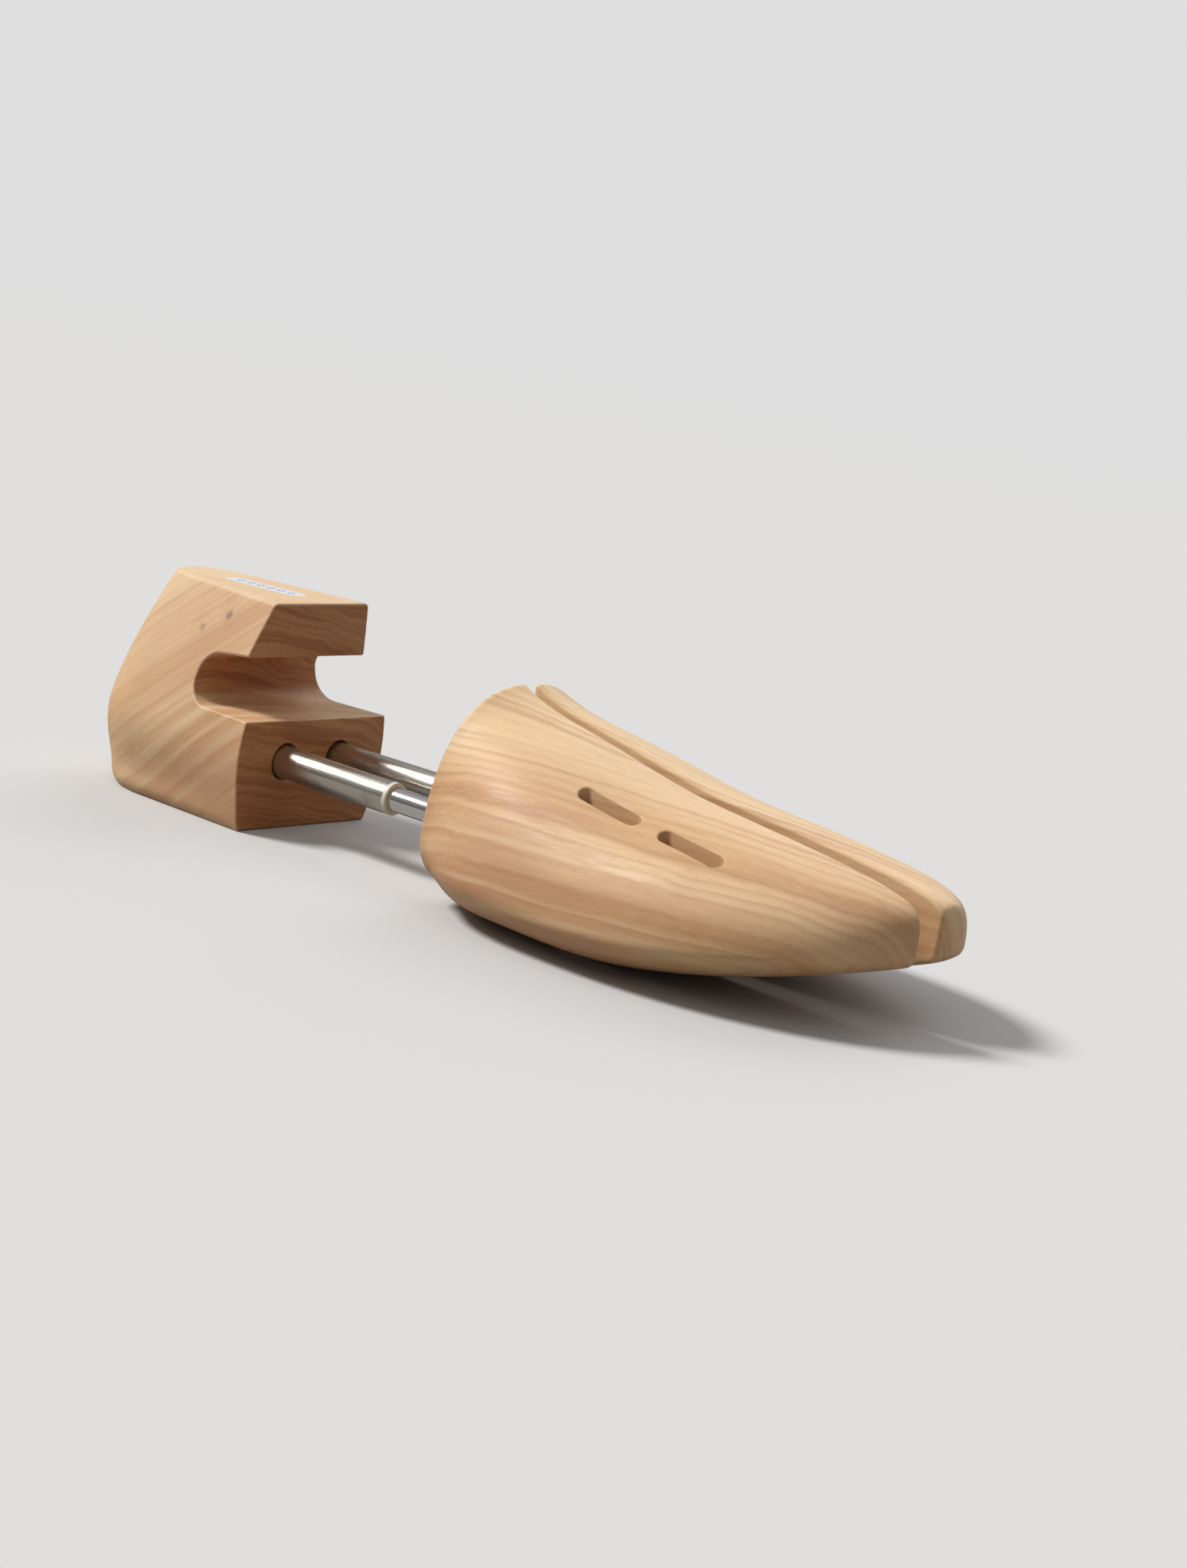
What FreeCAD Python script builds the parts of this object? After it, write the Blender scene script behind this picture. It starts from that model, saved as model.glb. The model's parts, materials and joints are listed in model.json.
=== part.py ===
import FreeCAD, Part
import math
import os

from FreeCAD import Vector

# Wooden shoe tree for a right shoe: a contoured heel block, two spring-loaded tubes and a split forepart.
# Frame: origin at the centre of the heel block's flat base, +X to the toe, +Y to the wearer's left, +Z up.
# It stands with the tubes fully out and the toe halves spread. Lengths in millimetres, angles in degrees.

# Overall sizes
tree_length = 285.0          # rear of the heel to the tip of the toe, tubes fully out
heel_height = 66.0           # base to the flat top
heel_base_length = 68.0
heel_base_width = 54.0
heel_bulge_width = 62.0      # widest level of the heel
heel_bulge_height = 24.0     # height of that level
heel_bulge_overhang = 6.0    # how far the rear of that level stands behind the base
toe_length = 137.0
toe_width = 93.0             # across the ball, halves together

# Flat top, beak and finger notch of the heel block
top_length = 55.5
top_front_width = 40.5
top_taper = 0.18             # narrowing of each side per unit of length
bulge_taper = 0.06
top_setback = 14.0           # rear of the top, ahead of the rear bulge
flare_power = 1.4            # how the flanks swell from the top down to the bulge
flank_levels = 7             # sections from the bulge to the top
beak_thickness = 16.6
beak_undercut = 10.8         # lean of the beak's front face
notch_height = 17.0
notch_depth = 18.5
notch_radius = 7.0
notch_slope = 7.5            # fall of the notch's ceiling towards the rear
sharp_turn = 20.0            # faces that meet at more than this have an edge to soften
block_edge = 0.7             # softened edges of the wood
rim_edge = 2.0               # rounder edge along the sides and the rear of the flat top
toe_edge = 1.2
tip_edge = 3.0               # round the small flat at the toe's tip

# Tubes, rods and what holds them
arm_spacing = 22.0           # between the two tube axes, halves together
arm_height = 20.0
spread_angle = 1.0           # outward swing of each arm at rest
slide_travel = 25.0
rod_diameter = 7.0
bush_wall = 0.59
tube_wall = 0.6
tube_tail = 8.0              # tube behind its pivot
pivot_setback = 22.0         # pivot behind the centre of the base
pivot_pin_diameter = 3.0
pivot_pin_above = 4.0        # pin above the tube
pin_recess = 0.5             # pins lie this far below the wood
plug_length = 15.0
rod_hold = 40.0              # rod inside the toe half
rod_show = 5.0               # rod left in sight with the tree fully pressed together
piston_length = 6.0
bush_length = 8.0
bush_flange = 1.2
cross_pin_diameter = 2.5
cross_pin_above = 3.0
cross_pin_setback = 28.0     # cross pin ahead of the toe half's rear face
main_wire = 1.0
main_coils = 17

# Split forepart
halves_gap = 0.6             # between the halves when they are pressed together
land_length = 42.0           # flat underside at the ball
land_start = 14.0            # ahead of the toe half's rear face
land_depth = 1.0             # cut off the rounded underside to make it flat
toe_spring = 17.0            # rise of the underside at the tip
toe_rear_height = 58.0
toe_rear_lift = 3.0          # rise of the underside at the rear face
tip_height = 27.0            # thickness close to the tip
section_fullness = 0.88      # 0.71 gives ellipses, more gives squarer flanks
vent_width = 4.5
vent_length = 20.0
vent_offset = 28.0           # vent slots from the split
vent_stations = (56.0, 83.0)
vent_edge = 0.6              # softened rims of the slots
guide_diameter = 4.0
guide_reach = 20.0           # guide pin past the split, into the right half
guide_hold = 15.0            # guide pin in the left half
guide_stations = {"rear": 50.0, "front": 94.0}
guide_height = 21.0
seat_depth = 6.0             # counterbore of the spreader springs
spreader_outer = 9.0
spreader_wire = 0.8
spreader_coils = 6

# Outline of the forepart: shares of its width, and of its length from the rear face
flank_at_rear = {"left": 0.33, "right": 0.37}
flank_at_ball = {"left": 0.495, "right": 0.515}
ball_station = {"left": 0.42, "right": 0.30}
closing_start = 0.45         # where the flanks start to close towards the tip
closing_end = 1.007
closing_power = 2.3
toe_sweep = 0.06             # how far the tip turns to the inner side
toe_sweep_start = 0.4
toe_curve = 1.5              # how gently the sweep and the toe spring start
instep_power = 1.15          # how the top falls from the rear face to the tip
instep_hollow = 0.1
widest_level = 0.3           # share of the height
tip_flatness = 0.3           # how far the underside closes towards the widest level at the tip

# Clearances
running_gap = 0.06           # radial, pins that turn and bores that slide
piston_gap = 0.1             # radial, piston in its tube
swing_gap = 0.4              # radial, around a tube at the ends of its swing
seat_gap = 0.5               # radial, springs in their seats
end_gap = 0.2                # springs to their end faces
guide_gap = 0.95             # radial, guide pins in the right half's bores

# Places that follow from the sizes
heel_front = heel_base_length / 2
heel_rear = -heel_base_length / 2 - heel_bulge_overhang
beak_front = heel_rear + top_setback + top_length
toe_rear = heel_rear + tree_length - toe_length
pivot_x = -pivot_setback
tube_start = pivot_x - tube_tail
tube_end = toe_rear - slide_travel - rod_show - bush_flange
plug_end = tube_start + plug_length
bush_start = tube_end - bush_length
rod_start = bush_start - piston_length
rod_end = toe_rear + rod_hold
tube_inner = rod_diameter + 2 * (running_gap + bush_wall)
tube_outer = tube_inner + 2 * tube_wall

sides = {"left": 1, "right": -1}
x_axis = Vector(1, 0, 0)
y_axis = Vector(0, 1, 0)
z_axis = Vector(0, 0, 1)


def rod_along(axis, start, length, diameter):
    return Part.makeCylinder(diameter / 2, length, start, axis)


def arm_point(side, x, dy=0.0, dz=0.0):
    return Vector(x, sides[side] * arm_spacing / 2 + dy, arm_height + dz)


def swing(shape, side, angle=spread_angle):
    # An arm and its toe half swing outwards about the arm's pivot pin.
    turned = shape.copy()
    turned.rotate(arm_point(side, pivot_x), z_axis, sides[side] * angle)
    return turned


def is_sharp(shape, edge):
    # True where the two faces that share an edge meet at an angle rather than run on smoothly.
    faces = shape.ancestorsOfType(edge, Part.Face)
    if len(faces) != 2:
        return False
    middle = edge.valueAt((edge.FirstParameter + edge.LastParameter) / 2)
    normals = [face.normalAt(*face.Surface.parameter(middle)) for face in faces]
    return normals[0].getAngle(normals[1]) > math.radians(sharp_turn)


def softened(shape, radius, wanted=lambda edge: True):
    edges = [edge for edge in shape.Edges if is_sharp(shape, edge) and wanted(edge)]
    return shape.makeFillet(radius, edges)


def heel_outline(z):
    # Level section of the heel: straight front, two tapering sides and a round rear that runs into them.
    if z >= heel_bulge_height:
        up = (z - heel_bulge_height) / (heel_height - heel_bulge_height)
        swell = up ** flare_power
        narrow = heel_bulge_width / 2 + (top_front_width / 2 - heel_bulge_width / 2) * swell
        rear = heel_rear + top_setback * swell
        taper = bulge_taper + (top_taper - bulge_taper) * up
    else:
        tuck = ((heel_bulge_height - z) / heel_bulge_height) ** 2
        narrow = heel_bulge_width / 2 + (heel_base_width / 2 - heel_bulge_width / 2) * tuck
        rear = heel_rear + heel_bulge_overhang * tuck
        taper = bulge_taper
    lean = math.atan(taper)
    radius = (narrow - taper * (beak_front - rear)) * math.cos(lean) / (1 - taper * math.cos(lean))
    centre = rear + radius
    front = narrow + taper * (heel_front - beak_front)
    join_x = centre - radius * math.sin(lean)
    join_y = radius * math.cos(lean)
    corners = [Vector(heel_front, -front, z), Vector(join_x, -join_y, z),
               Vector(join_x, join_y, z), Vector(heel_front, front, z)]
    edges = [Part.LineSegment(corners[0], corners[1]).toShape(),
             Part.Arc(corners[1], Vector(rear, 0, z), corners[2]).toShape(),
             Part.LineSegment(corners[2], corners[3]).toShape(),
             Part.LineSegment(corners[3], corners[0]).toShape()]
    return Part.Wire(edges)


def notch_profile():
    # Side view of what is cut away at the front: above the notch, the beak's undercut face, and the notch.
    beak_lower = heel_height - beak_thickness
    undercut = math.tan(math.radians(beak_undercut))
    slope = math.radians(notch_slope)
    lip = Vector(beak_front - beak_thickness * undercut, 0, beak_lower)
    over = Vector(beak_front + heel_height * undercut, 0, 2 * heel_height)
    floor = beak_lower - notch_height
    back = lip.x - notch_depth
    r = notch_radius
    # The ceiling slopes down to a quarter round, then a back wall and a second quarter round.
    top_centre = Vector(back + r, 0, beak_lower - (notch_depth - r) * math.tan(slope) - r / math.cos(slope))
    ceiling_end = top_centre + Vector(math.sin(-slope) * r, 0, math.cos(slope) * r)
    knee = math.radians(135) - slope / 2
    top_mid = top_centre + Vector(math.cos(knee) * r, 0, math.sin(knee) * r)
    low_centre = Vector(back + r, 0, floor + r)
    low_mid = low_centre + Vector(-r, 0, -r) * math.sqrt(0.5)
    far = heel_front + notch_depth
    return Part.Wire([
        Part.LineSegment(over, lip).toShape(),
        Part.LineSegment(lip, ceiling_end).toShape(),
        Part.Arc(ceiling_end, top_mid, top_centre + Vector(-r, 0, 0)).toShape(),
        Part.LineSegment(top_centre + Vector(-r, 0, 0), low_centre + Vector(-r, 0, 0)).toShape(),
        Part.Arc(low_centre + Vector(-r, 0, 0), low_mid, low_centre + Vector(0, 0, -r)).toShape(),
        Part.LineSegment(low_centre + Vector(0, 0, -r), Vector(far, 0, floor)).toShape(),
        Part.LineSegment(Vector(far, 0, floor), Vector(far, 0, 2 * heel_height)).toShape(),
        Part.LineSegment(Vector(far, 0, 2 * heel_height), over).toShape(),
    ])


def tube_bore(side):
    # The bore lies half-way through the swing, and is wide enough for the tube at both ends of it.
    start = tube_start - swing_gap
    reach = heel_front - pivot_x
    sweep = reach * math.sin(math.radians(spread_angle / 2))
    length = heel_front + tube_outer - start
    bore = rod_along(x_axis, arm_point(side, start), length, tube_outer + 2 * (swing_gap + sweep))
    return swing(bore, side, spread_angle / 2)


def is_rim(edge):
    return edge.BoundBox.ZMin > heel_height - block_edge and edge.BoundBox.XMin < beak_front - top_setback


def heel_block():
    steps = [heel_bulge_height * share for share in (0, 0.25, 0.6)]
    above = heel_height - heel_bulge_height
    steps += [heel_bulge_height + above * share / flank_levels for share in range(flank_levels + 1)]
    block = Part.makeLoft([heel_outline(z) for z in steps], True, False)
    cutter = Part.Face(notch_profile())
    cutter.translate(Vector(0, -heel_bulge_width, 0))
    block = block.cut(cutter.extrude(Vector(0, 2 * heel_bulge_width, 0)))
    block = softened(block, rim_edge, is_rim)
    block = softened(block, block_edge)
    for side in sides:
        block = block.cut(tube_bore(side)).cut(pivot_pin(side, 0))
    return block


def pivot_pin(side, recess=pin_recess):
    top = arm_height + tube_outer / 2 + pivot_pin_above
    start = arm_point(side, pivot_x, dz=recess - arm_height)
    return rod_along(z_axis, start, top - recess, pivot_pin_diameter)


def pivot_hole(side):
    start = arm_point(side, pivot_x, dz=-tube_outer)
    return rod_along(z_axis, start, 2 * tube_outer, pivot_pin_diameter + 2 * running_gap)


def tube(side):
    length = tube_end - tube_start
    outer = rod_along(x_axis, arm_point(side, tube_start), length, tube_outer)
    inner = rod_along(x_axis, arm_point(side, tube_start), length, tube_inner)
    return swing(outer.cut(inner).cut(pivot_hole(side)), side)


def tube_plug(side):
    plug = rod_along(x_axis, arm_point(side, tube_start), plug_length, tube_inner)
    plug = softened(plug, tube_wall)
    return swing(plug.cut(pivot_hole(side)), side)


def tube_bush(side):
    bush = rod_along(x_axis, arm_point(side, bush_start), bush_length, tube_inner)
    bush = bush.fuse(rod_along(x_axis, arm_point(side, tube_end), bush_flange, tube_outer)).removeSplitter()
    bore = rod_along(x_axis, arm_point(side, bush_start), bush_length + bush_flange,
                     rod_diameter + 2 * running_gap)
    return swing(bush.cut(bore), side)


def rod_body(side, start=rod_start):
    return rod_along(x_axis, arm_point(side, start), rod_end - start, rod_diameter)


def cross_pin(side, recess=pin_recess):
    top = arm_height + rod_diameter / 2 + cross_pin_above
    start = arm_point(side, toe_rear + cross_pin_setback, dz=recess - arm_height)
    return rod_along(z_axis, start, top - recess, cross_pin_diameter)


def rod(side):
    # A short spigot on the rod's rear end carries the piston.
    spigot = rod_along(x_axis, arm_point(side, rod_start), piston_length, rod_diameter / 2)
    main = rod_body(side, bush_start)
    return swing(main.fuse(spigot).removeSplitter().cut(cross_pin(side)), side)


def rod_piston(side):
    head = rod_along(x_axis, arm_point(side, rod_start), piston_length, tube_inner - 2 * piston_gap)
    bore = rod_along(x_axis, arm_point(side, rod_start), piston_length, rod_diameter / 2)
    return swing(head.cut(bore), side)


def coil_spring(start, axis, length, outer, wire, coils):
    # Round wire wound in a helix, with the wire's own thickness inside the stated length.
    pitch = (length - wire) / coils
    radius = (outer - wire) / 2
    helix = Part.makeHelix(pitch, length - wire, radius)
    section = Part.Wire([Part.makeCircle(wire / 2, Vector(radius, 0, 0), y_axis)])
    spring = Part.Wire(helix.Edges).makePipeShell([section], True, True)
    spring = Part.Solid(spring) if spring.ShapeType == "Shell" else spring
    spring.translate(Vector(0, 0, wire / 2))
    turn = FreeCAD.Rotation(z_axis, axis)
    spring.Placement = FreeCAD.Placement(start, turn).multiply(spring.Placement)
    return spring


def main_spring(side):
    length = rod_start - plug_end - 2 * end_gap
    spring = coil_spring(arm_point(side, plug_end + end_gap), x_axis, length,
                         tube_inner - seat_gap, main_wire, main_coils)
    return swing(spring, side)


def toe_section(x):
    # Cross-section of the forepart: four quarters that meet smoothly at the widest level.
    along = (x - toe_rear) / toe_length
    closed = max(0.0, (along - closing_start) / (closing_end - closing_start))
    bulk = math.sqrt(1 - closed ** closing_power)
    reaches = {}
    for side in sides:
        growth = math.sin(min(along / ball_station[side], 1) * math.pi / 2)
        share = flank_at_rear[side] + (flank_at_ball[side] - flank_at_rear[side]) * growth
        reaches[side] = share * toe_width * bulk
    turned = max(0.0, (along - toe_sweep_start) / (1 - toe_sweep_start))
    centre = toe_sweep * toe_width * turned ** toe_curve
    ahead = max(0.0, x - toe_rear - land_start - land_length)
    rise = toe_spring * (ahead / (toe_length - land_start - land_length)) ** toe_curve
    behind = max(0.0, toe_rear + land_start - x)
    # The section reaches below the ground by the land's depth, and is cut off there to give the flat land.
    bottom = rise + toe_rear_lift * (behind / land_start) ** 2 - land_depth
    fall = (1 - along ** instep_power) * (1 - instep_hollow * along)
    full = tip_height + (toe_rear_height - tip_height) * fall
    top = bottom + land_depth + full * (1 + bulk) / 2
    widest = bottom + widest_level * (top - bottom)
    bottom = widest - (widest - bottom) * (tip_flatness + (1 - tip_flatness) * bulk)
    left, right = reaches["left"], reaches["right"]
    quarters = [(left, top), (right, top), (right, bottom), (left, bottom)]
    edges = []
    turns = [(1, 0), (0, 1), (-1, 0), (0, -1), (1, 0)]
    for index, (reach, level) in enumerate(quarters):
        edges.append(quarter(x, centre, widest, reach, abs(level - widest), turns[index:index + 2]))
    return Part.Wire(edges)


def quarter(x, centre_y, centre_z, reach, rise, turns):
    # One quarter of the outline, as a rational Bezier curve with its corner as the middle pole.
    ends = [Vector(x, centre_y + reach * across, centre_z + rise * up) for across, up in turns]
    corner = Vector(x, ends[0].y + ends[1].y - centre_y, ends[0].z + ends[1].z - centre_z)
    curve = Part.BezierCurve()
    curve.setPoles([ends[0], corner, ends[1]])
    curve.setWeight(2, section_fullness)
    return curve.toShape()


def forepart():
    # The sections crowd towards the tip, where the outline curves most.
    shares = [0, 0.1, 0.22, 0.35, 0.48, 0.6, 0.7, 0.79, 0.87, 0.925, 0.962, 0.985, 0.996, 1]
    sections = [toe_section(toe_rear + toe_length * share) for share in shares]
    whole = Part.makeLoft(sections, True, False)
    ground = Part.makeBox(2 * toe_length, 2 * toe_width, heel_height,
                          Vector(toe_rear - toe_length / 2, -toe_width, -heel_height))
    return whole.cut(ground)


def guide_pin_blank(station, reach, hold, diameter):
    start = Vector(toe_rear + station, -reach, guide_height)
    return rod_along(y_axis, start, reach + hold, diameter)


def vent(side, station):
    # Upright slot with round ends, right through the toe half.
    reach = (vent_length - vent_width) / 2
    low = Vector(toe_rear + station - reach, sides[side] * vent_offset - vent_width / 2, -heel_height)
    slot = Part.makeBox(2 * reach, vent_width, 3 * heel_height, low)
    for end in (0, 2 * reach):
        slot = slot.fuse(rod_along(z_axis, low + Vector(end, vent_width / 2, 0), 3 * heel_height, vent_width))
    return slot


def is_tip(edge):
    box = edge.BoundBox
    return box.XMin > toe_rear + toe_length - block_edge and box.YLength > halves_gap


def is_vent_rim(side, edge):
    box = edge.BoundBox
    return abs(box.Center.y - sides[side] * vent_offset) < vent_width and box.XLength < vent_length


def toe_half(side, whole):
    edge_y = halves_gap / 2 if side == "left" else -toe_width - halves_gap / 2
    corner = Vector(toe_rear - toe_length / 2, edge_y, -heel_height / 2)
    box = Part.makeBox(2 * toe_length, toe_width, 2 * heel_height, corner)
    half = softened(whole.common(box).Solids[0], tip_edge, is_tip)
    half = softened(half, toe_edge)
    for station in vent_stations:
        half = half.cut(vent(side, station))
    half = softened(half, vent_edge, lambda edge: is_vent_rim(side, edge))
    half = half.cut(rod_body(side, toe_rear - rod_hold)).cut(cross_pin(side, 0))
    for station in guide_stations.values():
        if side == "left":
            bore = guide_pin_blank(station, 0, guide_hold, guide_diameter)
        else:
            bore = guide_pin_blank(station, guide_reach + guide_gap, 0, guide_diameter + 2 * guide_gap)
        seat_reach = seat_depth + halves_gap / 2
        seat = guide_pin_blank(station, seat_reach, seat_reach, spreader_outer)
        half = half.cut(bore).cut(seat)
    return swing(half, side)


def guide_pin(name):
    return swing(guide_pin_blank(guide_stations[name], guide_reach, guide_hold, guide_diameter), "left")


def spreader_spring(name):
    seat = seat_depth + halves_gap / 2
    marker = Part.Vertex(Vector(toe_rear + guide_stations[name], seat, guide_height))
    end = swing(marker, "left").Point
    lean = (spreader_outer / 2) * math.sin(math.radians(spread_angle))
    reach = end.y - end_gap - lean
    return coil_spring(Vector(end.x, -reach, guide_height), y_axis, 2 * reach,
                       spreader_outer - 2 * seat_gap, spreader_wire, spreader_coils)


def build():
    whole = forepart()
    nodes = {"heel_block": heel_block()}
    for side in sides:
        nodes[side + "_tube"] = tube(side)
        nodes[side + "_tube_pin"] = pivot_pin(side)
        nodes[side + "_tube_plug"] = tube_plug(side)
        nodes[side + "_tube_bush"] = tube_bush(side)
        nodes[side + "_main_spring"] = main_spring(side)
        nodes[side + "_rod"] = rod(side)
        nodes[side + "_rod_piston"] = rod_piston(side)
        nodes[side + "_rod_pin"] = swing(cross_pin(side), side)
        nodes[side + "_toe_half"] = toe_half(side, whole)
    for name in guide_stations:
        nodes[name + "_guide_pin"] = guide_pin(name)
        nodes[name + "_spreader_spring"] = spreader_spring(name)
    return nodes


os.makedirs("parts", exist_ok=True)
for node, shape in build().items():
    print(node, shape.ShapeType, shape.isValid(), round(shape.Volume, 1), len(shape.Solids))
    shape.exportStep("parts/" + node + ".step")
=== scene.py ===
import json
import math

import bpy
from mathutils import Matrix, Vector


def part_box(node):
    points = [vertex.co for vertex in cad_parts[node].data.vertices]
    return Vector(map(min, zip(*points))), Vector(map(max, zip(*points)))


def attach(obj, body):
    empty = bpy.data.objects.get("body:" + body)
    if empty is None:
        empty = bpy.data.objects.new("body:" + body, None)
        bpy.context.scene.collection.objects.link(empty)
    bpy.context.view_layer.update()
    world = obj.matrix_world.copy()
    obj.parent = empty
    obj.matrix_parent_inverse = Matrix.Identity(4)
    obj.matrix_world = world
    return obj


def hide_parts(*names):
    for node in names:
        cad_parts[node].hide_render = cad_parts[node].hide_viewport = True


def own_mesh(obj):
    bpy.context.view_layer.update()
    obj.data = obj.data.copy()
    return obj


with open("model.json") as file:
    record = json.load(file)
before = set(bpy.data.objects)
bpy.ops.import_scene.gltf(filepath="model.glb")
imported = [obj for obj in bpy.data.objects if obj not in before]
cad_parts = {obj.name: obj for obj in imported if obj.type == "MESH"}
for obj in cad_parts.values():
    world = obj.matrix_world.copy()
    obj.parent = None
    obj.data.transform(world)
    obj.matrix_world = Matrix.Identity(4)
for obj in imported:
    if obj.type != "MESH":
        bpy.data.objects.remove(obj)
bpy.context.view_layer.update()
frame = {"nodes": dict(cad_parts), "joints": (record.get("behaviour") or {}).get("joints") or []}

# A wooden shoe tree on a pale floor. Metres throughout, in the part's own frame:
# origin under the heel block, +X to the toe, +Y to the wearer's left, +Z up.

nodes = frame["nodes"]
joints = {joint["name"]: joint for joint in frame["joints"]}
bpy.ops.object.select_all(action="DESELECT")
mm = 0.001


def fromBytes(red, green, blue):
    # the usual 0 to 255 values, as the linear colour that shaders take
    channels = []
    for value in (red, green, blue):
        share = value / 255
        channels.append(share / 12.92 if share <= 0.04045 else ((share + 0.055) / 1.055) ** 2.4)
    return (*channels, 1.0)


# small helpers that add nodes to a material's tree
def newMaterial(name):
    material = bpy.data.materials.new(name)
    material.use_nodes = True
    tree = material.node_tree
    tree.nodes.clear()
    shader = tree.nodes.new("ShaderNodeBsdfPrincipled")
    output = tree.nodes.new("ShaderNodeOutputMaterial")
    tree.links.new(shader.outputs["BSDF"], output.inputs["Surface"])
    return material, tree, shader


def feed(tree, socket, value):
    # a socket takes either another node's output or a plain value
    if isinstance(value, bpy.types.NodeSocket):
        tree.links.new(value, socket)
    elif value is not None:
        socket.default_value = value


def calc(tree, operation, first, second=None, third=None):
    node = tree.nodes.new("ShaderNodeMath")
    node.operation = operation
    for socket, value in zip(node.inputs, (first, second, third)):
        feed(tree, socket, value)
    return node.outputs[0]


def vectorCalc(tree, operation, first, second=None, output="Vector"):
    node = tree.nodes.new("ShaderNodeVectorMath")
    node.operation = operation
    feed(tree, node.inputs[0], first)
    feed(tree, node.inputs[1], second)
    return node.outputs[output]


def remap(tree, value, low, high, newLow=0.0, newHigh=1.0, smooth=True):
    node = tree.nodes.new("ShaderNodeMapRange")
    node.interpolation_type = "SMOOTHSTEP" if smooth else "LINEAR"
    for socket, given in zip(node.inputs, (value, low, high, newLow, newHigh)):
        feed(tree, socket, given)
    return node.outputs[0]


def mixColour(tree, share, first, second, blend="MIX"):
    node = tree.nodes.new("ShaderNodeMix")
    node.data_type = "RGBA"
    node.blend_type = blend
    feed(tree, node.inputs["Factor"], share)
    feed(tree, node.inputs[6], first)      # 6, 7 and 2 are the node's colour sockets
    feed(tree, node.inputs[7], second)
    return node.outputs[2]


def noise(tree, vector, scale, detail=3.0, roughness=0.5):
    node = tree.nodes.new("ShaderNodeTexNoise")
    feed(tree, node.inputs["Vector"], vector)
    feed(tree, node.inputs["Scale"], scale)
    feed(tree, node.inputs["Detail"], detail)
    feed(tree, node.inputs["Roughness"], roughness)
    return node.outputs["Fac"]


def perNumber(tree, number):
    # one steady random value for each whole number
    node = tree.nodes.new("ShaderNodeTexWhiteNoise")
    node.noise_dimensions = "1D"
    feed(tree, node.inputs["W"], number)
    return node.outputs["Value"]


def combined(tree, x, y, z):
    node = tree.nodes.new("ShaderNodeCombineXYZ")
    for socket, value in zip(node.inputs, (x, y, z)):
        feed(tree, socket, value)
    return node.outputs[0]


def separated(tree, vector):
    node = tree.nodes.new("ShaderNodeSeparateXYZ")
    feed(tree, node.inputs[0], vector)
    return node.outputs


def mapped(tree, vector, location=(0, 0, 0), rotation=(0, 0, 0), scale=(1, 1, 1)):
    node = tree.nodes.new("ShaderNodeMapping")
    feed(tree, node.inputs["Vector"], vector)
    node.inputs["Location"].default_value = location
    node.inputs["Rotation"].default_value = rotation
    node.inputs["Scale"].default_value = scale
    return node.outputs[0]


def objectPlace(tree):
    return tree.nodes.new("ShaderNodeTexCoord").outputs["Object"]


def bump(tree, height, strength, distance, before=None):
    node = tree.nodes.new("ShaderNodeBump")
    node.inputs["Strength"].default_value = strength
    node.inputs["Distance"].default_value = distance
    feed(tree, node.inputs["Height"], height)
    feed(tree, node.inputs["Normal"], before)
    return node.outputs[0]


def paint(name, material):
    piece = nodes[name] if isinstance(name, str) else name
    piece.data.materials.clear()
    piece.data.materials.append(material)


# the two kinds of wood, for woodMaterial
heelWood = {
    "fibre": Vector((0.775, 0.125, 0.62)),      # along the grain
    "across": Vector((0.632, -0.113, -0.767)),  # from ring to ring
    "pith": (0.030, 0.260),                     # centre of the rings, across the grain
    "ring": 2.4 * mm,
    "warp": 2.6 * mm,
    "ringShow": 0.16,
    "bandShow": 0.34, "zoneShow": 0.5,
    "pinkShow": 0.5,
    "sap": -62 * mm, "heart": -22 * mm,         # from the pale sapwood to the darker heartwood
    "pale": fromBytes(232, 202, 162),
    "tan": fromBytes(212, 170, 126),
    "late": fromBytes(178, 130, 92),
    "pink": fromBytes(205, 155, 122),
    "ends": (1.0, 0.0, -0.1),                   # the side that shows end grain, painted darker; on this front face the darkening is also painted shade
    # the darkening painted on that side: end grain colour and painted shade together
    "endGrainShadeTint": fromBytes(226, 197, 170), "endGrainShadeLine": fromBytes(204, 168, 138),
    "shift": (0.013, 0.02, 0.005),
}

toeWood = {
    "fibre": Vector((1.0, 0.03, 0.055)),
    "across": Vector((-0.05, 0.25, 0.96)),
    "pith": (0.012, -0.045),
    "ring": 2.9 * mm,
    "warp": 3.2 * mm,
    "ringShow": 0.36,
    "bandShow": 0.34, "zoneShow": 0.45,
    "pinkShow": 0.55,
    "sap": 70 * mm, "heart": 26 * mm,
    "pale": fromBytes(230, 197, 153),
    "tan": fromBytes(209, 166, 120),
    "late": fromBytes(168, 118, 78),
    "pink": fromBytes(198, 145, 112),
    "ends": (-1.0, 0.0, 0.1),
    "endGrainShadeTint": fromBytes(232, 208, 186), "endGrainShadeLine": fromBytes(212, 180, 152),
    "shift": (0.2, 0.07, 0.03),
}

# cycles per metre along the grain, round the rings and from ring to ring
grainScale = {
    "sway": (9, 34, 34), "ripple": (45, 210, 210),      # waves in the rings themselves
    "bands": (6, 20, 270), "zones": (5, 14, 95), "cloud": (14, 24, 60),
    "streaks": (38, 900, 900), "hairs": (130, 3200, 3200), "pores": (420, 5200, 5200),
    "endLines": (4, 14, 1000),
    "planedAndSheen": (16, 330, 1),                             # along and across the block's flat top
}

woodMarksAndSheen = {
    "pore": fromBytes(130, 92, 64),
    "knotHalo": fromBytes(172, 124, 98),
    "knotCore": fromBytes(122, 94, 102),
    "planedAndSheen": fromBytes(226, 202, 170),     # the flat top of the heel block, painted paler and greyer than its sides: painted light and sheen
    "planedLine": fromBytes(222, 174, 122),
}

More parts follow.
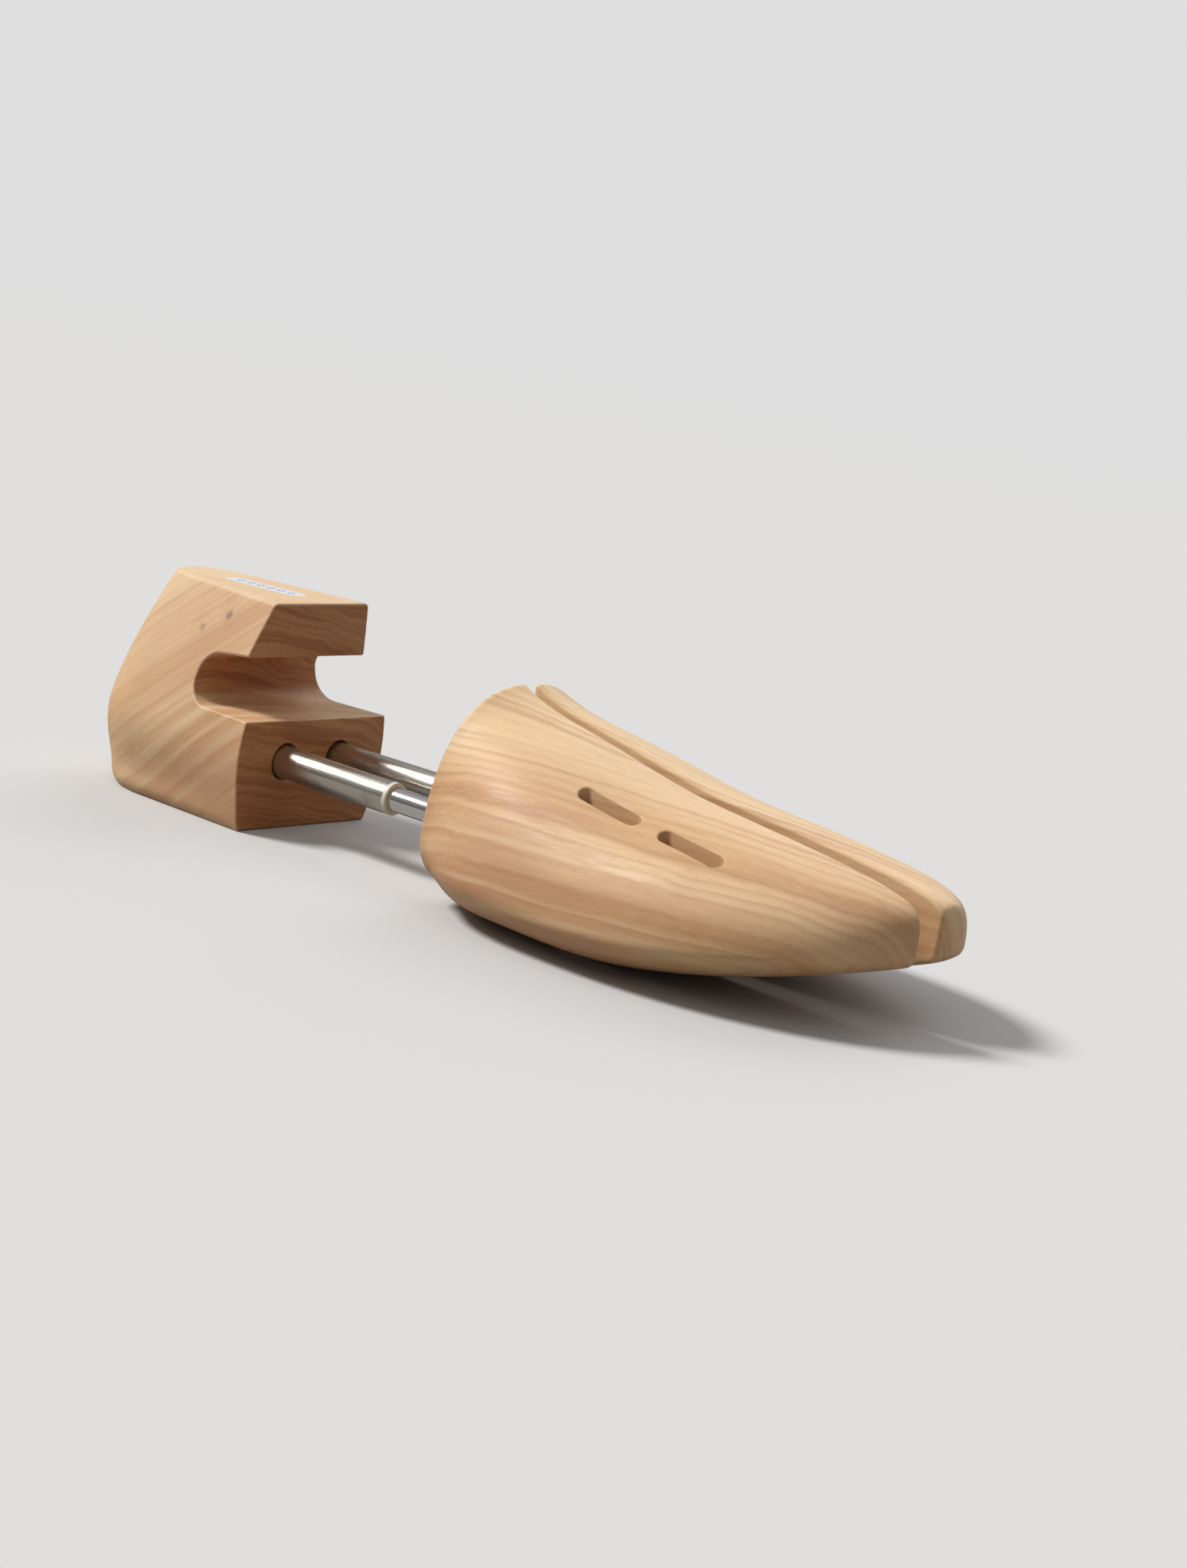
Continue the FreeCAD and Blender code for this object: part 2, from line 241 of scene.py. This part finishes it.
# each knot: its centre on the wood, the radius of its core and how dark it is
heelKnots = [
    ((11.5 * mm, -19.9 * mm, 59.0 * mm), 1.2 * mm, 0.64),
    ((2.5 * mm, -20.9 * mm, 53.5 * mm), 1.25 * mm, 0.38),
]
toeKnots = {
    "left": [((150 * mm, 44 * mm, 30 * mm), 1.6 * mm, 0.6)],
    "right": [((196 * mm, -38 * mm, 27 * mm), 1.5 * mm, 0.7)],
}

inkMark = {
    "start": -8.3 * mm, "end": 19.4 * mm,   # along the top
    "slant": 0.088,                         # the print isn't quite square to the block
    "offset": 0.4 * mm,
    "height": 9.0 * mm, "corner": 3.2 * mm,
    "edge": 0.7 * mm,                       # how softly the strip ends
    "lozenges": 6, "pitch": 3.8 * mm,       # an even number, in the middle of the strip
    "lozenge": 2.1 * mm, "eye": 0.9 * mm, "line": 0.3 * mm,
    "cover": 0.92,                          # how well the strip hides the wood
    "ink": fromBytes(126, 138, 160),
    "strip": fromBytes(213, 220, 229),
}


def woodPlace(tree, wood):
    # turns the object's own place into one with X along the grain and Z from ring to ring
    fibre = wood["fibre"].normalized()
    across = (wood["across"] - fibre * wood["across"].dot(fibre)).normalized()
    side = across.cross(fibre)
    turn = Matrix((fibre, side, across)).to_euler("XYZ")
    return mapped(tree, objectPlace(tree), location=wood["shift"], rotation=turn)


def knotShares(tree, knots):
    # how close a point is to each knot: 1 in its core, fading over a few radii
    place = objectPlace(tree)
    core, ring = None, None
    for centre, radius, dark in knots:
        reach = vectorCalc(tree, "DISTANCE", place, centre, output="Value")
        wobble = calc(tree, "MULTIPLY", noise(tree, place, 600.0, 2.0), radius * 1.6)
        reach = calc(tree, "ADD", reach, calc(tree, "SUBTRACT", wobble, radius * 0.8))
        inner = remap(tree, reach, radius * 1.6, radius * 0.4, 0.0, dark)
        outer = remap(tree, reach, radius * 5.5, radius, 0.0, dark)
        core = inner if core is None else calc(tree, "MAXIMUM", core, inner)
        ring = outer if ring is None else calc(tree, "MAXIMUM", ring, outer)
    return core, ring


def inkShares(tree, mark, level):
    # a pale printed strip with a plain row of lozenges along it, only on the flat top
    x, y, z = separated(tree, objectPlace(tree))
    along = calc(tree, "SUBTRACT", x, (mark["start"] + mark["end"]) / 2)
    across = calc(tree, "SUBTRACT", y, calc(tree, "MULTIPLY_ADD", along, mark["slant"], mark["offset"]))
    reach = calc(tree, "ABSOLUTE", across)
    # how far past the strip's inner edge, for its rounded corners
    corner = mark["corner"]
    straight = (mark["end"] - mark["start"]) / 2 - corner
    pastEnd = calc(tree, "SUBTRACT", calc(tree, "ABSOLUTE", along), straight)
    pastSide = calc(tree, "SUBTRACT", reach, mark["height"] / 2 - corner)
    past = combined(tree, calc(tree, "MAXIMUM", pastEnd, 0.0), calc(tree, "MAXIMUM", pastSide, 0.0), 0.0)
    strip = remap(tree, vectorCalc(tree, "LENGTH", past, output="Value"), corner, corner - mark["edge"])
    strip = calc(tree, "MULTIPLY", strip, remap(tree, z, level - 0.4 * mm, level - 0.2 * mm))
    cell = calc(tree, "FRACT", calc(tree, "DIVIDE", along, mark["pitch"]))
    cell = calc(tree, "ABSOLUTE", calc(tree, "SUBTRACT", cell, 0.5))
    size = calc(tree, "MULTIPLY_ADD", cell, mark["pitch"] * 1.5, reach)
    eye = remap(tree, size, mark["eye"], mark["eye"] - mark["line"])
    whole = remap(tree, size, mark["lozenge"], mark["lozenge"] - mark["line"])
    lozenge = calc(tree, "SUBTRACT", whole, eye)
    worn = remap(tree, noise(tree, objectPlace(tree), 1500.0, 3.0), 0.3, 0.55, 0.5, 1.0)
    rowEnd = mark["lozenges"] / 2 * mark["pitch"]
    row = calc(tree, "LESS_THAN", calc(tree, "ABSOLUTE", along), rowEnd)
    ink = calc(tree, "MULTIPLY", calc(tree, "MULTIPLY", lozenge, worn), calc(tree, "MULTIPLY", strip, row))
    return ink, calc(tree, "MULTIPLY", strip, mark["cover"])


def ringSpace(tree, wood, place, knotRing):
    # place along the grain, place round the ring, and distance from the pith with a few waves in it
    along, side, depth = separated(tree, place)
    sway = noise(tree, mapped(tree, place, scale=grainScale["sway"]), 1.0, 2.0)
    ripple = noise(tree, mapped(tree, place, scale=grainScale["ripple"]), 1.0, 2.0)
    flat = combined(tree, 0.0, calc(tree, "SUBTRACT", side, wood["pith"][0]),
                    calc(tree, "SUBTRACT", depth, wood["pith"][1]))
    radius = vectorCalc(tree, "LENGTH", flat, output="Value")
    radius = calc(tree, "MULTIPLY_ADD", sway, wood["warp"] * 3, radius)
    radius = calc(tree, "MULTIPLY_ADD", ripple, wood["warp"] * 0.3, radius)
    radius = calc(tree, "MULTIPLY_ADD", knotRing, wood["ring"] * 0.8, radius)
    return radius, combined(tree, along, side, radius), depth


def lateWood(tree, wood, radius):
    count = calc(tree, "DIVIDE", radius, wood["ring"])
    year = calc(tree, "FRACT", count)
    rise = remap(tree, year, 0.3, 0.92)                       # slow darkening to the late wood
    fall = remap(tree, year, 0.92, 1.0, 1.0, 0.0)             # and a quick return to the early wood
    strength = remap(tree, perNumber(tree, calc(tree, "FLOOR", count)), 0.0, 1.0, 0.2, 1.0)
    return calc(tree, "MULTIPLY", calc(tree, "MULTIPLY", rise, fall), strength)


def woodMaterial(name, wood, knots, mark=None, level=0.0):
    material, tree, shader = newMaterial(name)
    place = woodPlace(tree, wood)
    core, knotRing = knotShares(tree, knots)
    radius, rings, depth = ringSpace(tree, wood, place, knotRing)
    late = lateWood(tree, wood, radius)

    # broad bands, fibre streaks and short dark pores, all drawn out along the grain
    bands = noise(tree, mapped(tree, rings, scale=grainScale["bands"]), 1.0, 3.0, 0.5)
    zones = noise(tree, mapped(tree, rings, scale=grainScale["zones"]), 1.0, 2.0, 0.5)
    streaks = noise(tree, mapped(tree, place, scale=grainScale["streaks"]), 1.0, 3.0, 0.6)
    hairs = noise(tree, mapped(tree, place, scale=grainScale["hairs"]), 1.0, 2.0, 0.6)
    pores = noise(tree, mapped(tree, place, scale=grainScale["pores"]), 1.0, 1.0)
    poreShare = remap(tree, pores, 0.66, 0.76, 0.0, 0.5)
    cloud = noise(tree, mapped(tree, place, scale=grainScale["cloud"]), 1.0, 3.0, 0.55)

    drift = calc(tree, "MULTIPLY_ADD", calc(tree, "SUBTRACT", zones, 0.5), 50 * mm, depth)
    heart = remap(tree, drift, wood["sap"], wood["heart"])
    colour = mixColour(tree, heart, wood["pale"], wood["tan"])
    colour = mixColour(tree, remap(tree, zones, 0.42, 0.62, 0.0, wood["zoneShow"]), colour, wood["pale"])
    pink = calc(tree, "MULTIPLY", remap(tree, cloud, 0.42, 0.66, 0.0, wood["pinkShow"]), heart)
    colour = mixColour(tree, pink, colour, wood["pink"])
    colour = mixColour(tree, remap(tree, bands, 0.5, 0.68, 0.0, wood["bandShow"]), colour, wood["late"])
    paleShow = wood["bandShow"] * 1.5
    colour = mixColour(tree, remap(tree, bands, 0.5, 0.32, 0.0, paleShow), colour, wood["pale"])
    colour = mixColour(tree, calc(tree, "MULTIPLY", late, wood["ringShow"]), colour, wood["late"])
    colour = mixColour(tree, remap(tree, streaks, 0.5, 0.72, 0.0, 0.12), colour, wood["late"])
    colour = mixColour(tree, remap(tree, streaks, 0.5, 0.3, 0.0, 0.15), colour, wood["pale"])
    colour = mixColour(tree, calc(tree, "MULTIPLY", poreShare, 0.4), colour, woodMarksAndSheen["pore"])
    colour = mixColour(tree, calc(tree, "MULTIPLY", knotRing, 0.3), colour, woodMarksAndSheen["knotHalo"])
    colour = mixColour(tree, core, colour, woodMarksAndSheen["knotCore"])

    # end grain is deeper in colour, and its rings stand out more; the darkening goes on one side only, and
    # on the heel block's front face it is also painted shade
    normal = tree.nodes.new("ShaderNodeTexCoord").outputs["Normal"]
    facing = vectorCalc(tree, "DOT_PRODUCT", normal, wood["ends"], output="Value")
    end = remap(tree, facing, 0.55, 0.88)
    lines = noise(tree, mapped(tree, rings, scale=grainScale["endLines"]), 1.0, 2.0, 0.5)
    shadedEndColour = mixColour(tree, remap(tree, lines, 0.42, 0.62), wood["endGrainShadeTint"], wood["endGrainShadeLine"])
    colour = mixColour(tree, end, colour, shadedEndColour, "MULTIPLY")

    rough = remap(tree, streaks, 0.3, 0.7, 0.46, 0.6)
    height = calc(tree, "MULTIPLY_ADD", streaks, 0.55, calc(tree, "MULTIPLY", hairs, 0.45))
    height = calc(tree, "SUBTRACT", height, calc(tree, "MULTIPLY", poreShare, 0.9))
    height = calc(tree, "SUBTRACT", height, calc(tree, "MULTIPLY", late, 0.25))
    if mark:
        # the top painted paler and greyer as painted light and sheen, faint streaks along the planed top,
        # then the print
        topPlace = mapped(tree, objectPlace(tree), scale=grainScale["planedAndSheen"])
        plane = noise(tree, topPlace, 1.0, 3.0, 0.55)
        onTop = remap(tree, separated(tree, objectPlace(tree))[2], level - 1.2 * mm, level - 0.1 * mm)
        # painted light and sheen: the top made paler and greyer than the sides
        colour = mixColour(tree, calc(tree, "MULTIPLY", onTop, 0.6), colour, woodMarksAndSheen["planedAndSheen"])
        grain = calc(tree, "MULTIPLY", onTop, remap(tree, plane, 0.42, 0.7, 0.0, 0.55))
        colour = mixColour(tree, grain, colour, woodMarksAndSheen["planedLine"])
        ink, strip = inkShares(tree, mark, level)
        colour = mixColour(tree, strip, colour, mark["strip"])
        colour = mixColour(tree, ink, colour, mark["ink"])
        rough = calc(tree, "MULTIPLY_ADD", ink, -0.12, rough)
    feed(tree, shader.inputs["Base Color"], colour)
    feed(tree, shader.inputs["Roughness"], rough)
    feed(tree, shader.inputs["Normal"], bump(tree, height, 0.45, 0.1 * mm))
    shader.inputs["Specular IOR Level"].default_value = 0.4
    return material


# the metals: bright and dull colour, roughness from and to, and the scale of the fine drawn lines
tubeFinish = {
    "colour": fromBytes(206, 200, 190), "dull": fromBytes(150, 142, 130),
    "rough": (0.2, 0.36), "lines": (30, 2600, 2600),
}
rodFinish = {
    "colour": fromBytes(222, 222, 220), "dull": fromBytes(176, 176, 172),
    "rough": (0.08, 0.2), "lines": (60, 1800, 1800),
}
pinFinish = {
    "colour": fromBytes(176, 174, 170), "dull": fromBytes(120, 116, 110),
    "rough": (0.28, 0.45), "lines": (900, 900, 900),
}
springFinish = {
    "colour": fromBytes(150, 152, 156), "dull": fromBytes(92, 92, 96),
    "rough": (0.22, 0.4), "lines": (700, 700, 700),
}
# dull places on every metal: cycles per metre, how much they show, and how much rougher they are
metalWear = {"patches": 90.0, "patchShow": 0.55, "spots": 700.0, "spotShow": 0.5, "rougher": 0.18}
nylonFinish = {
    "colour": fromBytes(226, 222, 208), "shade": fromBytes(206, 200, 184),
    "cloud": 240.0, "grain": 3800.0,
}


def metalMaterial(name, finish):
    material, tree, shader = newMaterial(name)
    place = objectPlace(tree)
    lines = noise(tree, mapped(tree, place, scale=finish["lines"]), 1.0, 4.0, 0.65)
    patches = noise(tree, place, metalWear["patches"], 4.0, 0.6)
    spots = remap(tree, noise(tree, place, metalWear["spots"], 2.0), 0.68, 0.78, 0.0, metalWear["spotShow"])
    worn = calc(tree, "MAXIMUM", remap(tree, patches, 0.48, 0.72, 0.0, metalWear["patchShow"]), spots)
    feed(tree, shader.inputs["Base Color"], mixColour(tree, worn, finish["colour"], finish["dull"]))
    low, high = finish["rough"]
    rough = remap(tree, lines, 0.3, 0.7, low, high)
    rough = calc(tree, "MULTIPLY_ADD", worn, metalWear["rougher"], rough)
    feed(tree, shader.inputs["Roughness"], rough)
    feed(tree, shader.inputs["Normal"], bump(tree, lines, 0.12, 0.02 * mm))
    shader.inputs["Metallic"].default_value = 1.0
    return material


def nylonMaterial(name, finish):
    material, tree, shader = newMaterial(name)
    place = objectPlace(tree)
    cloud = noise(tree, place, finish["cloud"], 3.0)
    grain = noise(tree, place, finish["grain"], 2.0)
    feed(tree, shader.inputs["Base Color"], mixColour(tree, cloud, finish["colour"], finish["shade"]))
    feed(tree, shader.inputs["Roughness"], remap(tree, cloud, 0.3, 0.7, 0.38, 0.5))
    feed(tree, shader.inputs["Normal"], bump(tree, grain, 0.2, 0.03 * mm))
    shader.inputs["Subsurface Weight"].default_value = 0.15
    shader.inputs["Subsurface Radius"].default_value = (0.002, 0.0018, 0.0014)
    return material


def paintEverything():
    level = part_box("heel_block")[1].z
    paint("heel_block", woodMaterial("heelWood", heelWood, heelKnots, inkMark, level))
    for side, knots in toeKnots.items():
        paint(side + "_toe_half", woodMaterial(side + "ToeWood", toeWood, knots))
    tubeMetal = metalMaterial("tubeMetal", tubeFinish)
    rodMetal = metalMaterial("rodMetal", rodFinish)
    pinSteel = metalMaterial("pinSteel", pinFinish)
    nylon = nylonMaterial("nylon", nylonFinish)
    for side in ("left", "right"):
        paint(side + "_tube", tubeMetal)
        paint(side + "_rod", rodMetal)
        paint(side + "_tube_pin", pinSteel)
        paint(side + "_rod_pin", pinSteel)
        for part in ("_tube_plug", "_tube_bush", "_rod_piston"):
            paint(side + part, nylon)
    for end in ("rear", "front"):
        paint(end + "_guide_pin", pinSteel)
    print("painted the carried-over parts")


# springs are wound with the screw modifier, with closed turns at both ends
mainSpring = {
    "coils": 17, "wire": 1.0 * mm,
    "sides": 10, "steps": 24,       # faces round the wire, and along one turn
    "closed": 1.05,                 # pitch of the closed end turns, in wire thicknesses
}
spreaderSpring = {
    "coils": 6, "wire": 0.8 * mm,
    "sides": 10, "steps": 28,
    "closed": 1.05,
    "clearance": 0.1 * mm,          # left at the wood when the slides are fully in
}


def woundSpring(name, spring, start, axis, length, outer):
    wire, sides, steps = spring["wire"], spring["sides"], spring["steps"]
    pitch = (length - wire) / spring["coils"]
    bpy.ops.object.select_all(action="DESELECT")
    bpy.ops.mesh.primitive_circle_add(vertices=sides, radius=wire / 2, fill_type="NOTHING",
                                      location=((outer - wire) / 2, 0, 0),
                                      rotation=(math.radians(90), 0, 0))
    piece = bpy.context.object
    piece.name = name
    bpy.ops.object.transform_apply(location=True, rotation=True, scale=True)
    screw = piece.modifiers.new("wind", "SCREW")
    screw.axis = "Z"
    screw.angle = math.radians(360)
    screw.steps = steps
    screw.render_steps = steps
    screw.iterations = spring["coils"]
    screw.screw_offset = pitch
    screw.use_smooth_shade = True
    bpy.ops.object.modifier_apply(modifier="wind")
    # one turn at each end lies flat against the next
    flatTurn = wire * spring["closed"]
    total = pitch * spring["coils"]
    for index, vertex in enumerate(piece.data.vertices):
        place = (index // sides) * pitch / steps
        if place < pitch:
            target = place / pitch * flatTurn
        elif place > total - pitch:
            target = total - (total - place) / pitch * flatTurn
        else:
            target = flatTurn + (place - pitch) * (total - 2 * flatTurn) / (total - 2 * pitch)
        vertex.co.z += target - place + wire / 2
    bpy.ops.object.mode_set(mode="EDIT")
    bpy.ops.mesh.select_all(action="SELECT")
    bpy.ops.mesh.fill_holes(sides=sides)
    bpy.ops.mesh.select_all(action="SELECT")
    bpy.ops.mesh.normals_make_consistent(inside=False)
    bpy.ops.object.mode_set(mode="OBJECT")
    piece.rotation_euler = Vector((0, 0, 1)).rotation_difference(axis).to_euler()
    piece.location = start
    bpy.ops.object.transform_apply(location=True, rotation=True, scale=True)
    return piece


def finishSpring(piece, node, body, material):
    paint(piece, material)
    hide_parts(node)
    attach(piece, body)
    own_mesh(piece)


def makeSprings():
    material = metalMaterial("springSteel", springFinish)
    for side in ("left", "right"):
        node = side + "_main_spring"
        low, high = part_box(node)
        axis = Vector(joints[side + "_slide"]["axis"]).normalized()
        outer = high.z - low.z
        length = (high.x - low.x - outer * abs(axis.y)) / axis.x
        start = (low + high) / 2 - axis * length / 2
        piece = woundSpring(side + "MainSpring", mainSpring, start, axis, length, outer)
        finishSpring(piece, node, side + "_arm", material)
    pivot, slide = joints["left_pivot"], joints["left_slide"]
    for end in ("rear", "front"):
        node = end + "_spreader_spring"
        low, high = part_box(node)
        axis = Vector((0, -1, 0))
        start = Vector(((low.x + high.x) / 2, high.y, (low.z + high.z) / 2))
        # the slides bring the halves a little closer too, and the spring leaves that much room
        room = 2 * abs(slide["range_m"][0] * slide["axis"][1]) + spreaderSpring["clearance"]
        length = high.y - low.y - room
        piece = woundSpring(end + "SpreaderSpring", spreaderSpring, start, axis, length, high.z - low.z)
        finishSpring(piece, node, "left_toe", material)
    print("wound the springs")


# floor, light and camera
studio = {
    "background": fromBytes(223, 223, 223),
    "floor": (0.613, 0.613, 0.618, 1.0),
    "floorBounce": (0.34, 0.33, 0.32, 1.0),    # what the floor throws back on the piece
    "floorSize": 60.0, "floorDrop": 0.05 * mm,
    "fadeStart": 1.5, "fadeEnd": 4.0,          # where the floor turns into the background
    "skyLow": 0.12, "skyHigh": 0.42,
    "keyFrom": (-0.55, -0.38, 0.74), "keyPower": 3.05, "keyAngle": 16.0,
    "keyTint": (1.0, 0.985, 0.96),
    "fillFrom": (-0.12, 0.86, 0.5), "fillPower": 0.9, "fillAngle": 50.0,
    "fillTint": (1.0, 0.99, 0.97),
    "aim": (0.09, 0.0, 0.03),
}

camera = {
    "place": (566.2 * mm, -611.0 * mm, 180.2 * mm),
    "azimuth": 35.465, "elevation": 9.791, "roll": 9.751,
    "lens": 64.18, "shiftX": 0.0032, "shiftY": -0.0307,
}


def cameraOnly(tree, seen, unseen):
    # one colour for what the camera sees, another for the light that it gives
    path = tree.nodes.new("ShaderNodeLightPath")
    return mixColour(tree, path.outputs["Is Camera Ray"], unseen, seen)


def skyColour(tree, direction):
    # pale all round to the camera; as a light, a soft dome that is brighter overhead
    up = separated(tree, direction)[2]
    glow = remap(tree, up, 0.0, 0.9, studio["skyLow"], studio["skyHigh"])
    return cameraOnly(tree, studio["background"], combined(tree, glow, glow, glow))


def makeFloor():
    bpy.ops.object.select_all(action="DESELECT")
    # a hair below the wood, so that the two flat faces don't share a plane
    bpy.ops.mesh.primitive_circle_add(vertices=96, radius=studio["floorSize"] / 2, fill_type="NGON",
                                      location=(0, 0, -studio["floorDrop"]))
    floor = bpy.context.object
    floor.name = "floor"
    material, tree, shader = newMaterial("floorPaper")
    reach = vectorCalc(tree, "DISTANCE", objectPlace(tree), studio["aim"], output="Value")
    share = remap(tree, reach, studio["fadeStart"], studio["fadeEnd"])
    feed(tree, shader.inputs["Base Color"], cameraOnly(tree, studio["floor"], studio["floorBounce"]))
    shader.inputs["Roughness"].default_value = 0.9
    shader.inputs["Specular IOR Level"].default_value = 0.0
    glow = tree.nodes.new("ShaderNodeEmission")
    low = studio["skyLow"]
    feed(tree, glow.inputs["Color"], cameraOnly(tree, studio["background"], (low, low, low, 1.0)))
    blend = tree.nodes.new("ShaderNodeMixShader")
    feed(tree, blend.inputs[0], share)
    feed(tree, blend.inputs[1], shader.outputs[0])
    feed(tree, blend.inputs[2], glow.outputs[0])
    output = next(node for node in tree.nodes if node.type == "OUTPUT_MATERIAL")
    feed(tree, output.inputs["Surface"], blend.outputs[0])
    paint(floor, material)


def makeWorld():
    world = bpy.data.worlds.new("studio")
    bpy.context.scene.world = world
    world.use_nodes = True
    tree = world.node_tree
    direction = tree.nodes.new("ShaderNodeTexCoord").outputs["Generated"]
    feed(tree, tree.nodes["Background"].inputs["Color"], skyColour(tree, direction))


def sunLight(name):
    data = bpy.data.lights.new(name, "SUN")
    data.energy = studio[name + "Power"]
    data.angle = math.radians(studio[name + "Angle"])
    data.color = studio[name + "Tint"]
    light = bpy.data.objects.new(name, data)
    bpy.context.scene.collection.objects.link(light)
    light.location = Vector(studio["aim"]) + Vector(studio[name + "From"])
    light.rotation_euler = Vector(studio[name + "From"]).to_track_quat("Z", "Y").to_euler()


def makeCamera():
    data = bpy.data.cameras.new("view")
    data.lens = camera["lens"]
    data.sensor_width = 36
    data.shift_x = camera["shiftX"]
    data.shift_y = camera["shiftY"]
    eye = bpy.data.objects.new("view", data)
    bpy.context.scene.collection.objects.link(eye)
    turn = Matrix.Rotation(math.radians(camera["azimuth"]), 4, "Z")
    tilt = Matrix.Rotation(math.radians(90 - camera["elevation"]), 4, "X")
    roll = Matrix.Rotation(math.radians(camera["roll"]), 4, "Z")
    eye.matrix_world = Matrix.Translation(camera["place"]) @ turn @ tilt @ roll
    bpy.context.scene.camera = eye


paintEverything()
makeSprings()
makeFloor()
makeWorld()
sunLight("key")
sunLight("fill")
makeCamera()
bpy.context.scene.view_settings.view_transform = "Standard"
print("set the studio")
